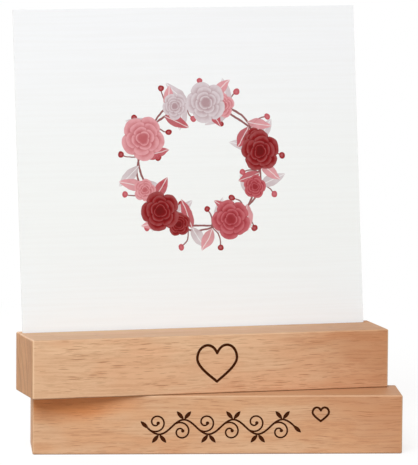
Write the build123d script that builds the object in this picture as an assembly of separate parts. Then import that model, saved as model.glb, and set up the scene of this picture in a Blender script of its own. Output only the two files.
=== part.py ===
from build123d import *
import os
from math import atan, cos, degrees, pi, radians, sin

# Wooden photo block holder: a block that holds a card in a saw kerf, lying turned on a plinth block.
# Origin at the centre of the plinth block's underside, +Z up, +Y to the back, all sizes in millimetres.

# The two blocks are cut from one bar
block_length = 150.0
block_depth = 28.0
block_height = 24.0
arris_radius = 0.7

# Kerf for the card, sawn through from end to end and leaning back
kerf_width = 1.2
kerf_depth = 14.0
kerf_from_back = 5.0
kerf_lean = 8.0

# Card, standing on the floor of the kerf against its back wall
card_width = 145.0
card_height = 145.0
card_thickness = 0.5
card_clearance = 0.05
card_shift = -0.9

# Place of the holder block on the plinth block
stack_shift_x = -5.1
stack_shift_y = 5.2
stack_turn = 12.5

# Engraving, burnt into the front faces
engraving_depth = 0.4
cut_overrun = 1.0

# Large heart on the holder block
heart_width = 16.7
heart_height = 14.9
heart_stroke = 1.1
heart_shift = 2.0
heart_rise = 0.35

# Small heart on the plinth block
small_heart_width = 6.6
small_heart_height = 5.6
small_heart_stroke = 0.88
small_heart_shift = 41.7
small_heart_rise = 4.25

# Shape of a heart's right half, as shares of its half width and of its height
lobe_top_share = 0.49
lobe_drop_share = 0.355
cleft_drop_share = 0.22
cleft_reach_shares = (0.14, 0.17)
lobe_round_share = 0.5523
side_reach_share = 0.23
tip_reach_shares = (0.31, 0.145)

# Vine on the plinth block: a waving stem, with a curl and two leaves in each of its bays
vine_length = 60.0
vine_bays = 6
vine_shift = 1.2
vine_rise = -0.8
vine_swing = 3.0
vine_stroke = 0.8
curl_stroke = 0.7
curl_radius = 4.0
curl_eye_radius = 0.8
curl_turns = 1.3
curl_start_share = 0.38
bud_radius = 0.7
leaf_length = 4.3
leaf_width = 1.6
leaf_root = 0.2
leaf_spread = 40.0
curl_points = 16
stem_points_per_bay = 4


def block():
    """One plain block with eased arrises, standing on the plane z = 0."""
    body = Pos(0, 0, block_height / 2) * Box(block_length, block_depth, block_height)
    return fillet(body.edges(), radius=arris_radius)


def kerf_frame():
    """Frame at the centre of the kerf's mouth, whose Z axis climbs along the leaning kerf."""
    mouth = Pos(0, block_depth / 2 - kerf_from_back, block_height)
    return mouth * Rot(-kerf_lean, 0, 0)


def kerf():
    """Cutter for the leaning kerf, open at both ends and at the top."""
    height = kerf_depth + cut_overrun
    cutter = Box(block_length + 2 * cut_overrun, kerf_width, height)
    return kerf_frame() * Pos(0, 0, height / 2 - kerf_depth) * cutter


def half_heart(width, height):
    """Right half of a heart's outline, from its cleft over the lobe down to its tip at the origin."""
    half = width / 2
    cleft = (0, height * (1 - cleft_drop_share))
    top = (half * lobe_top_share, height)
    side = (half, height * (1 - lobe_drop_share))
    reach = half * (1 - lobe_top_share) * lobe_round_share
    rise = height * lobe_drop_share * lobe_round_share
    out_of_cleft = (half * cleft_reach_shares[0], cleft[1] + height * cleft_reach_shares[1])
    inner = Bezier(cleft, out_of_cleft, (top[0] - half * cleft_reach_shares[1], top[1]), top)
    lobe = Bezier(top, (top[0] + reach, top[1]), (side[0], side[1] + rise), side)
    into_tip = (half * tip_reach_shares[0], height * tip_reach_shares[1])
    flank = Bezier(side, (side[0], side[1] - height * side_reach_share), into_tip, (0, 0))
    return Curve() + [inner, lobe, flank]


def heart(width, height, stroke):
    """Outlined heart with a rounded cleft and tip, with its middle at the origin."""
    right = half_heart(width, height)
    halves = [trace(half, line_width=stroke) for half in (right, mirror(right, about=Plane.YZ))]
    corners = [Pos(0, up) * Circle(stroke / 2) for up in (0, height * (1 - cleft_drop_share))]
    return Pos(0, -height / 2) * (halves[0] + halves[1] + corners)


def leaf(length, width):
    """Almond-shaped leaf that grows along +X from the origin."""
    tip = (length, 0)
    upper = ThreePointArc((0, 0), (length / 2, width / 2), tip)
    lower = ThreePointArc(tip, (length / 2, -width / 2), (0, 0))
    return make_face(upper + lower)


def stem_height(along):
    """Height of the stem at a distance along from the middle of a bay, where it bends lowest."""
    return -vine_swing * cos(pi * along * vine_bays / vine_length)


def stem_heading(along):
    """Direction of the stem at the same place, in radians from +X."""
    wave = pi * vine_bays / vine_length
    return atan(vine_swing * wave * sin(wave * along))


def stem():
    """Waving stem along X, centred on the origin, with a leaf in line at each end."""
    steps = vine_bays * stem_points_per_bay
    bay = vine_length / vine_bays
    places = [step / steps * vine_length for step in range(steps + 1)]
    line = Spline(*[(place - vine_length / 2, stem_height(place - bay / 2)) for place in places])
    figure = trace(line, line_width=vine_stroke)
    ends = ((line @ 0, 180 + degrees(stem_heading(-bay / 2))), (line @ 1, degrees(stem_heading(-bay / 2))))
    for point, turn in ends:
        figure += Pos(point) * Rot(0, 0, turn) * Pos(-vine_stroke, 0) * leaf(leaf_length, leaf_width)
    return figure


def curl():
    """Tendril that leaves the stem and winds in to a round bud, in a bay that opens towards +Y."""
    along = -curl_start_share * vine_length / vine_bays
    first = stem_heading(along) - pi / 2
    middle = (along - curl_radius * cos(first), stem_height(along) - curl_radius * sin(first))
    points = []
    for step in range(curl_points + 1):
        share = step / curl_points
        radius = curl_radius + (curl_eye_radius - curl_radius) * share
        angle = first + 2 * pi * curl_turns * share
        points.append((middle[0] + radius * cos(angle), middle[1] + radius * sin(angle)))
    return trace(Spline(*points), line_width=curl_stroke) + Pos(*points[-1]) * Circle(bud_radius)


def leaf_pair():
    """Two leaves that spread below a bay's lowest bend."""
    pair = Sketch()
    for side in (-1, 1):
        turn = Rot(0, 0, -90 + side * leaf_spread)
        pair += turn * Pos(leaf_root, 0) * leaf(leaf_length, leaf_width)
    return Pos(0, stem_height(0)) * pair


def vine():
    """Whole vine as a list of flat figures, with its middle at the origin."""
    figures = [stem()]
    for index in range(vine_bays):
        figure = curl() + leaf_pair()
        if index % 2:
            figure = mirror(figure, about=Plane.XZ)
        figures.append(Pos((index + 1 / 2) * vine_length / vine_bays - vine_length / 2, 0) * figure)
    return figures


def engraving(figure, across, up):
    """Cutter that sinks a flat figure into a block's front face, centred on that place."""
    face = Plane.XZ.offset(block_depth / 2 + cut_overrun)
    middle = face * Pos(across, block_height / 2 + up)
    return extrude(middle * figure, amount=-(cut_overrun + engraving_depth))


def plinth_block():
    """Lower block, with the vine and the small heart on its front."""
    small = heart(small_heart_width, small_heart_height, small_heart_stroke)
    cutters = [engraving(small, small_heart_shift, small_heart_rise)]
    cutters += [engraving(figure, vine_shift, vine_rise) for figure in vine()]
    return block() - cutters


def holder_block():
    """Upper block, with the kerf in its top and the large heart on its front."""
    large = heart(heart_width, heart_height, heart_stroke)
    return block() - [kerf(), engraving(large, heart_shift, heart_rise)]


def card():
    """Card as it stands in the kerf, in the holder block's own frame."""
    sheet = Box(card_width, card_thickness, card_height)
    back = kerf_width / 2 - card_clearance - card_thickness / 2
    foot = card_height / 2 - kerf_depth + card_clearance
    return kerf_frame() * Pos(card_shift, back, foot) * sheet


def on_stack(shape):
    """Move a piece from the holder block's frame to its place on the plinth block."""
    return Pos(stack_shift_x, stack_shift_y, block_height) * Rot(0, 0, stack_turn) * shape


nodes = {
    "lower_block": plinth_block(),
    "upper_block": on_stack(holder_block()),
    "photo_card": on_stack(card()),
}

os.makedirs("parts", exist_ok=True)
for name, shape in nodes.items():
    export_step(shape, f"parts/{name}.step")

lean = radians(kerf_lean)
print("holder block centre", stack_shift_x, stack_shift_y, "turned by", stack_turn)
print("card slides along", -sin(lean) * sin(radians(stack_turn)), sin(lean) * cos(radians(stack_turn)), cos(lean))
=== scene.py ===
"""Wooden photo block holder: a printed card stands in a sawn kerf, on two stacked beech blocks.

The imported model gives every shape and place. This script dresses the pieces in beech and printed
card, and sets up the floor, the lamps and the camera. Finishes are given in millimetres, in the
frame of the block that they belong to: X along the block, Y to its back, Z up from its underside.
"""

import logging
import math
from dataclasses import dataclass
from enum import Enum
from typing import Any, Mapping, Optional, Sequence, Tuple, Union

import bpy
from mathutils import Matrix, Vector

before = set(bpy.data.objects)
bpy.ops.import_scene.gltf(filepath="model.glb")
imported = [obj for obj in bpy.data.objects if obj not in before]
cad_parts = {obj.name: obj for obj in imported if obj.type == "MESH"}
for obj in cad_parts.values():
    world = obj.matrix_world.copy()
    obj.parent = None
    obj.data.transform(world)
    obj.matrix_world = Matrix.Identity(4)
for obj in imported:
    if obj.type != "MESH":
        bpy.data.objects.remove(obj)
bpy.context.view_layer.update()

log = logging.getLogger("photo_block_holder")

MILLIMETRE = 0.001
FULL_TURN = 2 * math.pi
MIDDLE = 0.5  # of a noise or a random number, which run from 0 to 1
BULGE = 4.0  # makes share * (1 - share) reach one at its middle

SCREEN_LEVELS = 255
SRGB_KNEE, SRGB_SLOPE, SRGB_LIFT, SRGB_POWER = 0.04045, 12.92, 0.055, 2.4

Colour = Tuple[float, float, float]
Triple = Tuple[float, float, float]
Span = Tuple[float, float]
Operand = Union["Signal", float, int]
Place = Tuple["Signal", "Signal", "Signal"]
Paint = Union[Colour, bpy.types.NodeSocket]


def srgb(red: int, green: int, blue: int) -> Colour:
    """Turn a colour as a screen shows it, 0 to 255, into the linear values of a shader.

    Args:
        red: Red as shown.
        green: Green as shown.
        blue: Blue as shown.

    Returns:
        The three linear values.
    """
    shown = (level / SCREEN_LEVELS for level in (red, green, blue))
    return tuple(
        value / SRGB_SLOPE if value <= SRGB_KNEE else ((value + SRGB_LIFT) / (1 + SRGB_LIFT)) ** SRGB_POWER
        for value in shown
    )


class BlendMode(Enum):
    """How one colour is laid over another."""

    MIX = "MIX"
    MULTIPLY = "MULTIPLY"
    SCREEN = "SCREEN"


class Signal:
    """One number in a material. Arithmetic on it adds Math nodes."""

    def __init__(self, graph: "Graph", socket: bpy.types.NodeSocket) -> None:
        """Wrap an output socket of a material's node tree."""
        self.graph = graph
        self.socket = socket

    def __add__(self, other: Operand) -> "Signal":
        """Sum of the two."""
        return self.graph.math("ADD", self, other)

    def __radd__(self, other: Operand) -> "Signal":
        """Sum, with the number on the left."""
        return self.graph.math("ADD", other, self)

    def __sub__(self, other: Operand) -> "Signal":
        """Difference of the two."""
        return self.graph.math("SUBTRACT", self, other)

    def __rsub__(self, other: Operand) -> "Signal":
        """Difference, with the number on the left."""
        return self.graph.math("SUBTRACT", other, self)

    def __mul__(self, other: Operand) -> "Signal":
        """Product of the two."""
        return self.graph.math("MULTIPLY", self, other)

    def __rmul__(self, other: Operand) -> "Signal":
        """Product, with the number on the left."""
        return self.graph.math("MULTIPLY", other, self)

    def __truediv__(self, other: Operand) -> "Signal":
        """Quotient of the two."""
        return self.graph.math("DIVIDE", self, other)

    def __rtruediv__(self, other: Operand) -> "Signal":
        """Quotient, with the number on the left."""
        return self.graph.math("DIVIDE", other, self)

    def __pow__(self, other: Operand) -> "Signal":
        """This number raised to a power."""
        return self.graph.math("POWER", self, other)

    def __rpow__(self, other: Operand) -> "Signal":
        """A number raised to this power."""
        return self.graph.math("POWER", other, self)

    def __mod__(self, other: Operand) -> "Signal":
        """What is left of this number after whole steps of the other."""
        return self.graph.math("FLOORED_MODULO", self, other)

    def __rmod__(self, other: Operand) -> "Signal":
        """What is left of a number after whole steps of this one."""
        return self.graph.math("FLOORED_MODULO", other, self)

    def __abs__(self) -> "Signal":
        """Size of this number without its sign."""
        return self.graph.math("ABSOLUTE", self)

    def at_least(self, other: Operand) -> "Signal":
        """Larger of the two."""
        return self.graph.math("MAXIMUM", self, other)

    def at_most(self, other: Operand) -> "Signal":
        """Smaller of the two."""
        return self.graph.math("MINIMUM", self, other)

    def over(self, level: Operand) -> "Signal":
        """One where this number is above the level, else zero."""
        return self.graph.math("GREATER_THAN", self, level)

    def floor(self) -> "Signal":
        """Whole part of this number, rounded down."""
        return self.graph.math("FLOOR", self)

    def fraction(self) -> "Signal":
        """What is left of this number above its whole part."""
        return self.graph.math("FRACT", self)

    def sine(self) -> "Signal":
        """Sine of this number, in radians."""
        return self.graph.math("SINE", self)

    def cosine(self) -> "Signal":
        """Cosine of this number, in radians."""
        return self.graph.math("COSINE", self)

    def root(self) -> "Signal":
        """Square root of this number."""
        return self.graph.math("SQRT", self)

    def hypotenuse(self, other: "Signal") -> "Signal":
        """Distance between two places that differ by this number one way and the other across."""
        return (self * self + other * other).root()

    def angle(self, right: "Signal") -> "Signal":
        """Angle from straight right, in radians, of a place this far up and the other to the right."""
        return self.graph.math("ARCTAN2", self, right)

    def fade(self, start: Operand, end: Operand) -> "Signal":
        """Ease from zero to one while this number goes from a start to an end.

        Args:
            start: Number at which the result is still zero.
            end: Number at which the result has reached one. It may lie below the start.

        Returns:
            The eased share, from zero to one.
        """
        settings = {"interpolation_type": "SMOOTHSTEP"}
        inputs = {"Value": self, "From Min": start, "From Max": end}
        return Signal(self.graph, self.graph.node("ShaderNodeMapRange", settings, inputs).outputs["Result"])


class Graph:
    """Node tree of one material or of the world."""

    MIX_FACTOR, MIX_FIRST, MIX_SECOND, MIX_RESULT = 0, 6, 7, 2

    def __init__(self, tree: bpy.types.NodeTree) -> None:
        """Clear a tree, to fill it."""
        self.tree = tree
        tree.nodes.clear()

    def node(
        self,
        kind: str,
        settings: Optional[Mapping[str, Any]] = None,
        inputs: Optional[Mapping[Union[str, int], Any]] = None,
    ) -> bpy.types.Node:
        """Add one node, set it up and feed its sockets.

        Args:
            kind: Blender's name for the type of node.
            settings: Values of the node's own properties, set first. A ramp's steps are its
                colours in order, each over an equal share of the ramp.
            inputs: Values, signals or sockets for the node's inputs, by name or by number.

        Returns:
            The new node.
        """
        made = self.tree.nodes.new(kind)
        for name, value in (settings or {}).items():
            if name == "steps":
                self._set_steps(made.color_ramp, value)
            else:
                setattr(made, name, value)
        for name, value in (inputs or {}).items():
            socket = made.inputs[name]
            if isinstance(value, Signal):
                self.tree.links.new(value.socket, socket)
            elif isinstance(value, bpy.types.NodeSocket):
                self.tree.links.new(value, socket)
            elif socket.type == "RGBA":
                socket.default_value = (*value, 1.0)
            else:
                socket.default_value = value
        return made

    @staticmethod
    def _set_steps(ramp: bpy.types.ColorRamp, colours: Sequence[Colour]) -> None:
        """Give a ramp even steps.

        Args:
            ramp: The ramp, which has two stops when it is new.
            colours: The steps' colours, in order.
        """
        ramp.interpolation = "CONSTANT"
        while len(ramp.elements) < len(colours):
            ramp.elements.new(1.0)
        for index, (element, colour) in enumerate(zip(ramp.elements, colours)):
            element.position = index / len(colours)
            element.color = (*colour, 1.0)

    def math(self, operation: str, *operands: Operand) -> Signal:
        """Result of a new Math node, from Blender's name for the operation and its operands."""
        made = self.node("ShaderNodeMath", {"operation": operation}, dict(enumerate(operands)))
        return Signal(self, made.outputs["Value"])

    def join(self, x: Operand, y: Operand, z: Operand) -> bpy.types.NodeSocket:
        """Make a vector out of three numbers."""
        return self.node("ShaderNodeCombineXYZ", None, {"X": x, "Y": y, "Z": z}).outputs["Vector"]

    def split(self, vector: bpy.types.NodeSocket) -> Place:
        """Take a vector apart into its three numbers."""
        made = self.node("ShaderNodeSeparateXYZ", None, {"Vector": vector})
        return tuple(Signal(self, made.outputs[axis]) for axis in "XYZ")

    def noise(self, place: bpy.types.NodeSocket, detail: float, roughness: float) -> Signal:
        """Cloudy noise with features about one unit apart, mostly from 0.25 to 0.75."""
        inputs = {"Vector": place, "Scale": 1.0, "Detail": detail, "Roughness": roughness}
        return Signal(self, self.node("ShaderNodeTexNoise", None, inputs).outputs["Fac"])

    def cells(self, place: bpy.types.NodeSocket) -> Tuple[Signal, Signal, Signal]:
        """Scattered points on a plane, one to each unit square, with two random numbers for each.

        Args:
            place: Coordinates in units of the points' spacing, of which the third isn't used.

        Returns:
            Distance to the nearest point, and that point's two random numbers from 0 to 1.
        """
        settings = {"voronoi_dimensions": "2D", "feature": "F1"}
        made = self.node("ShaderNodeTexVoronoi", settings, {"Vector": place, "Scale": 1.0})
        first, second, _ = self._random_numbers(made)
        return Signal(self, made.outputs["Distance"]), first, second

    def chance(self, first: Operand, second: Operand, third: Operand) -> Tuple[Signal, Signal, Signal]:
        """Three random numbers from 0 to 1 that stay the same for the same three numbers."""
        inputs = {"Vector": self.join(first, second, third)}
        return self._random_numbers(self.node("ShaderNodeTexWhiteNoise", {"noise_dimensions": "3D"}, inputs))

    def _random_numbers(self, made: bpy.types.Node) -> Tuple[Signal, Signal, Signal]:
        """Three random numbers out of a node's random colour."""
        parts = self.node("ShaderNodeSeparateColor", None, {"Color": made.outputs["Color"]})
        return tuple(Signal(self, parts.outputs[name]) for name in ("Red", "Green", "Blue"))

    def blend(
        self, share: Operand, under: Paint, over: Paint, mode: BlendMode = BlendMode.MIX
    ) -> bpy.types.NodeSocket:
        """Lay one colour over another.

        Args:
            share: How much of the upper colour shows, from 0 to 1.
            under: The lower colour.
            over: The upper colour.
            mode: How the two combine.

        Returns:
            The blended colour.
        """
        settings = {"data_type": "RGBA", "blend_type": mode.value, "clamp_factor": True}
        inputs = {self.MIX_FACTOR: share, self.MIX_FIRST: under, self.MIX_SECOND: over}
        return self.node("ShaderNodeMix", settings, inputs).outputs[self.MIX_RESULT]

    def bump(self, height: Signal, depth: float) -> bpy.types.NodeSocket:
        """Bumped normal, on which a height of one stands out by the depth in millimetres."""
        inputs = {"Strength": 1.0, "Distance": depth * MILLIMETRE, "Height": height}
        return self.node("ShaderNodeBump", None, inputs).outputs["Normal"]

    def shader(self, inputs: Mapping[str, Any]) -> bpy.types.NodeSocket:
        """Principled shader with these values, signals or sockets."""
        return self.node("ShaderNodeBsdfPrincipled", None, inputs).outputs["BSDF"]

    def mix(
        self, share: Signal, first: bpy.types.NodeSocket, second: bpy.types.NodeSocket
    ) -> bpy.types.NodeSocket:
        """Two shaders mixed, with that share of the second."""
        return self.node("ShaderNodeMixShader", None, {0: share, 1: first, 2: second}).outputs[0]

    def finish(self, shader: bpy.types.NodeSocket) -> None:
        """Make one shader the material's surface."""
        self.node("ShaderNodeOutputMaterial", None, {"Surface": shader})


def start_material(name: str) -> Tuple[bpy.types.Material, Graph]:
    """Make a material that has no nodes yet.

    Args:
        name: Its name.

    Returns:
        The material and its node tree.
    """
    made = bpy.data.materials.new(name)
    made.use_nodes = True
    return made, Graph(made.node_tree)


def dress(node: str, material: bpy.types.Material) -> bpy.types.Object:
    """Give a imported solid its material.

    Args:
        node: The solid's name.
        material: The material.

    Returns:
        The dressed solid.
    """
    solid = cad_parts[node]
    for slot in solid.material_slots:
        slot.material = material
    return solid


@dataclass(frozen=True)
class Cloud:
    """A cloudy figure, drawn out by its own distance in each of three directions.

    Attributes:
        size: Distance between its features in each direction, in millimetres.
        span: Noise at which its mask begins and at which it is full.
        depth: How far its swing would go from end to end, if the noise used its whole range.
        detail: How many finer layers are added.
        roughness: How strong each finer layer is against the one before.
    """

    size: Triple
    span: Span = (0.0, 1.0)
    depth: float = 1.0
    detail: float = 1.0
    roughness: float = 0.5

    def level(self, graph: Graph, x: Operand, y: Operand, z: Operand) -> Signal:
        """Noise at a place, mostly from 0.25 to 0.75."""
        steps = (value / size for value, size in zip((x, y, z), self.size))
        return graph.noise(graph.join(*steps), self.detail, self.roughness)

    def mask(self, graph: Graph, x: Operand, y: Operand, z: Operand) -> Signal:
        """Share from zero to one, where the noise passes through the span."""
        return self.level(graph, x, y, z).fade(*self.span)

    def swing(self, graph: Graph, x: Operand, y: Operand, z: Operand) -> Signal:
        """Shift to either side of zero."""
        return (self.level(graph, x, y, z) - MIDDLE) * self.depth


@dataclass(frozen=True)
class Seat:
    """Where a block lies in the model.

    Attributes:
        origin: Middle of the block's underside, in millimetres.
        turn: Turn about Z, in degrees.
    """

    origin: Triple = (0.0, 0.0, 0.0)
    turn: float = 0.0

    def own_place(self, graph: Graph) -> Place:
        """Coordinates in the block's own frame, in millimetres, which ride with the block.

        Args:
            graph: The material that needs them.

        Returns:
            The coordinates.
        """
        inputs = {
            "Vector": graph.node("ShaderNodeTexCoord").outputs["Object"],
            "Location": [value * MILLIMETRE for value in self.origin],
            "Rotation": (0.0, 0.0, math.radians(self.turn)),
            "Scale": (MILLIMETRE,) * 3,
        }
        made = graph.node("ShaderNodeMapping", {"vector_type": "TEXTURE"}, inputs)
        return graph.split(made.outputs["Vector"])

    def facing(self, graph: Graph, direction: Triple) -> Signal:
        """How squarely a surface faces one of the block's own directions.

        Args:
            graph: The material that needs it.
            direction: A unit vector in the block's own frame.

        Returns:
            The cosine of the angle between the surface's normal and the direction.
        """
        turned = Matrix.Rotation(math.radians(self.turn), 3, "Z") @ Vector(direction)
        normal = graph.node("ShaderNodeTexCoord").outputs["Normal"]
        made = graph.node("ShaderNodeVectorMath", {"operation": "DOT_PRODUCT"}, {0: normal, 1: turned})
        return Signal(graph, made.outputs["Value"])


@dataclass(frozen=True)
class BlockSizes:
    """Sizes of a bar, in millimetres.

    Attributes:
        length: Its length along X.
        depth: Its depth along Y.
        height: Its height along Z.
        arris: Radius of its eased arrises.
        arris_shares: Shares of that radius from the edge at which an arris begins, and is full.
        engraving_depth: Depth of the burnt lines.
        rim_span: Depths at which a burnt line begins, and is full.
        floor_shares: Shares of its depth at which it has ended, and is still full.
        clear_share: Share of the arris's radius that no burnt line comes near.
    """

    length: float = 150.0
    depth: float = 28.0
    height: float = 24.0
    arris: float = 0.7
    arris_shares: Span = (1.1, 0.4)
    engraving_depth: float = 0.4
    rim_span: Span = (0.02, 0.12)
    floor_shares: Span = (1.6, 1.3)
    clear_share: float = 1.2

    def gaps(self, place: Place) -> Tuple[Signal, Signal, Signal]:
        """Distance of a place from the nearest end, from the nearest side and from the nearest flat."""
        half = self.height / 2
        return self.length / 2 - abs(place[0]), self.depth / 2 - abs(place[1]), half - abs(place[2] - half)

    def arrises(self, place: Place) -> Tuple[Signal, Signal]:
        """Eased edges of the block, where two faces meet.

        Args:
            place: The block's own coordinates.

        Returns:
            One on an edge and zero on a face, for all edges and for the upright ones alone.
        """
        ends, sides, flats = self.gaps(place)
        upright = ends.at_least(sides)
        second_gap = ends.at_most(sides).at_least(upright.at_most(flats))
        start, end = (self.arris * share for share in self.arris_shares)
        return second_gap.fade(start, end), upright.fade(start, end)

    def engraved(self, place: Place) -> Signal:
        """Floor and walls of the burnt lines, which lie behind the front face.

        Args:
            place: The block's own coordinates.

        Returns:
            One in a burnt line, else zero.
        """
        ends, _, flats = self.gaps(place)
        behind = place[1] + self.depth / 2
        floor_span = (self.engraving_depth * share for share in self.floor_shares)
        sunk = behind.fade(*self.rim_span) * behind.fade(*floor_span)
        clear = self.arris * self.clear_share
        return sunk * (flats - clear).over(0.0) * (ends - clear).over(0.0)


@dataclass(frozen=True)
class KerfSizes:
    """Sizes of the sawn kerf, in millimetres and degrees.

    Attributes:
        width: Its width.
        depth: Its depth along its slope.
        from_back: Distance of its mouth's middle from the block's back.
        lean: How far it leans back.
        margin: How far past its walls and floor sawn wood is looked for.
        end_margin: How far inside the block's ends sawn wood stops.
        mouth_span: Places up its slope, from its mouth, at which sawn wood begins, and is full.
    """

    width: float = 1.2
    depth: float = 14.0
    from_back: float = 5.0
    lean: float = 8.0
    margin: float = 0.05
    end_margin: float = 0.02
    mouth_span: Span = (-0.05, -0.6)

    def slope_place(self, place: Place, sizes: BlockSizes) -> Tuple[Signal, Signal]:
        """Place in the leaning kerf, from the middle of its mouth.

        Args:
            place: The block's own coordinates.
            sizes: The block's sizes.

        Returns:
            Distance towards the back across the kerf, and distance up its slope, in millimetres.
        """
        cosine, sine = math.cos(math.radians(self.lean)), math.sin(math.radians(self.lean))
        back, up = place[1] - (sizes.depth / 2 - self.from_back), place[2] - sizes.height
        return back * cosine - up * sine, back * sine + up * cosine

    def inside(self, place: Place, sizes: BlockSizes) -> Signal:
        """Walls and floor of the kerf.

        Args:
            place: The block's own coordinates.
            sizes: The block's sizes.

        Returns:
            One in the kerf, zero outside it.
        """
        across, up = self.slope_place(place, sizes)
        near = (self.width / 2 + self.margin - abs(across)).over(0.0)
        below_mouth = up.fade(*self.mouth_span) * (up + self.depth + self.margin).over(0.0)
        off_ends = (sizes.length / 2 - self.end_margin - abs(place[0])).over(0.0)
        return near * below_mouth * off_ends


@dataclass(frozen=True)
class Rays:
    """One size of the dashes that the wood's rays leave on the front, in millimetres.

    Attributes:
        along: Mean distance between dashes along the grain.
        up: Mean distance between them up the block.
        reach: Smallest and largest dash, as shares of those distances.
        rarity: Share of the places that stay empty.
        strength: How dark the dashes are, from 0 to 1.
    """

    along: float
    up: float
    reach: Span
    rarity: float
    strength: float


@dataclass(frozen=True)
class Grain:
    """Figure of a block's wood, as its sizes in millimetres.

    Attributes:
        offset: Where in the figure the block was cut.
        deep_bend: How the fibres bend across the block's depth.
        high_bend: How they bend up and down.
        ripple: Smaller bends up and down.
        pith: Depth and height at which the tree's pith runs.
        middle_ring: Radius at which distances round the pith are taken.
        ring_spacing: Width of one year's ring.
        year_noise: How the years' widths vary.
        year_drift: How many years that variation adds at most.
        ring_rise: Shares of a year between which its wood darkens.
        ring_end: Shares of a year between which it turns pale again.
        rays: The two sizes of dashes.
        ray_sway: How the lines of dashes bend up and down.
        ray_crowding: Where dashes crowd together and where they thin out.
        ray_surplus: How many more of them there are than usual, as a share of the places.
        ray_shift: How far one size's places are moved against the other's, for each unit of rarity.
        ray_fade: Share of the places over which dashes grow faint.
        ray_core_share: Share of a dash's reach at which it is full.
        streaks: Long fine streaks.
        pores: Shorter and finer marks.
        pore_share: How much of the fine figure is pores.
    """

    offset: Triple = (0.0, 0.0, 0.0)
    deep_bend: Cloud = Cloud((55.0, 24.0, 24.0), depth=7.0)
    high_bend: Cloud = Cloud((48.0, 20.0, 20.0), depth=4.0)
    ripple: Cloud = Cloud((9.0, 5.0, 5.0), depth=0.7)

    pith: Tuple[float, float] = (41.0, -3.0)
    middle_ring: float = 50.0
    ring_spacing: float = 6.2
    year_noise: Cloud = Cloud((9.0, 1.0, 1.0))
    year_drift: float = 4.0
    ring_rise: Span = (0.2, 0.9)
    ring_end: Span = (1.0, 0.9)

    rays: Tuple[Rays, ...] = (
        Rays(along=17.0, up=0.75, reach=(0.09, 0.26), rarity=0.52, strength=1.0),
        Rays(along=10.0, up=0.50, reach=(0.10, 0.30), rarity=0.46, strength=0.8),
    )
    ray_sway: Cloud = Cloud((10.0, 12.0, 3.0), depth=0.6)
    ray_crowding: Cloud = Cloud((26.0, 14.0, 8.0), depth=1.2)
    ray_surplus: float = 0.0
    ray_shift: float = 10.0
    ray_fade: float = 0.25
    ray_core_share: float = 0.5

    streaks: Cloud = Cloud((24.0, 0.9, 0.8), detail=3.0, roughness=0.65)
    pores: Cloud = Cloud((1.3, 0.16, 0.16))
    pore_share: float = 0.2

    def bend(self, graph: Graph, place: Place) -> Place:
        """Bend the straight grain a little, as a growing stem does.

        Args:
            graph: The material.
            place: The block's own coordinates.

        Returns:
            The bent coordinates, moved to this block's own part of the figure.
        """
        x, y, z = (value + shift for value, shift in zip(place, self.offset))
        ripple = self.ripple.swing(graph, x, y, z)
        deep = y + self.deep_bend.swing(graph, x, y, z)
        high = z + self.high_bend.swing(graph, x, z, y) + ripple
        return x, deep, high

    def round_pith(self, bent: Place) -> Tuple[Signal, Signal]:
        """Distance from the pith, and distance round it at a middling ring, in millimetres."""
        out, up = self.pith[0] - bent[1], bent[2] - self.pith[1]
        return out.hypotenuse(up), up.angle(out) * self.middle_ring

    def rings(self, graph: Graph, radius: Signal) -> Signal:
        """Yearly rings round the pith, each fading up to a thin darker line.

        Args:
            graph: The material.
            radius: Distance from the pith.

        Returns:
            Darkness of the ring, from 0 to 1.
        """
        drift = self.year_noise.level(graph, radius, 0.0, 0.0) * self.year_drift
        year = (radius / self.ring_spacing + drift).fraction()
        return year.fade(*self.ring_rise) * year.fade(*self.ring_end)

    def dashes(self, graph: Graph, bent: Place) -> Signal:
        """Rays seen as short dark dashes.

        Args:
            graph: The material.
            bent: The bent coordinates.

        Returns:
            Strength of the dash, from 0 to 1.
        """
        x, _, z = bent
        swayed = z + self.ray_sway.swing(graph, *bent)
        crowding = self.ray_crowding.swing(graph, *bent) + self.ray_surplus
        strength = None
        for rays in self.rays:
            along = x / rays.along + rays.rarity * self.ray_shift
            distance, size, presence = graph.cells(graph.join(along, swayed / rays.up, 0.0))
            smallest, largest = rays.reach
            reach = size * (largest - smallest) + smallest
            present = (presence + crowding).fade(rays.rarity, rays.rarity + self.ray_fade)
            dash = distance.fade(reach, reach * self.ray_core_share) * present * rays.strength
            strength = dash if strength is None else strength.at_least(dash)
        return strength

    def fibres(self, graph: Graph, bent: Place) -> Signal:
        """Fine figure along the grain, mostly from 0.3 to 0.7."""
        streaks = self.streaks.level(graph, *bent) * (1.0 - self.pore_share)
        return streaks + self.pores.level(graph, *bent) * self.pore_share


@dataclass(frozen=True)
class PaintedShadePatch:
    """Painted shade: a redder, darker patch on a block's front below an overhanging part, that fades out on
    all sides, in the block's own frame.

    Attributes:
        middle: Its middle, in millimetres.
        reach: How far it goes from its middle in each direction, in millimetres.
        share: How strong it is at its middle.
        fade_shares: Shares of its reach at which it begins, and is full.
        fray_share: How far its outline strays, as a share of its reach.
    """

    middle: Triple
    reach: Triple
    share: float
    fade_shares: Span = (1.0, 0.35)
    fray_share: float = 0.25

    def strength(self, place: Place, cloud: Signal) -> Signal:
        """How strongly the painted shade shows.

        Args:
            place: The block's own coordinates.
            cloud: Noise to either side of zero that frays its outline.

        Returns:
            The share, from 0 to 1.
        """
        x, y, z = ((value - middle) / reach for value, middle, reach in zip(place, self.middle, self.reach))
        away = (x ** 2.0 + y ** 2.0 + z ** 2.0).root() + cloud * self.fray_share
        return away.fade(*self.fade_shares) * self.share


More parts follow.
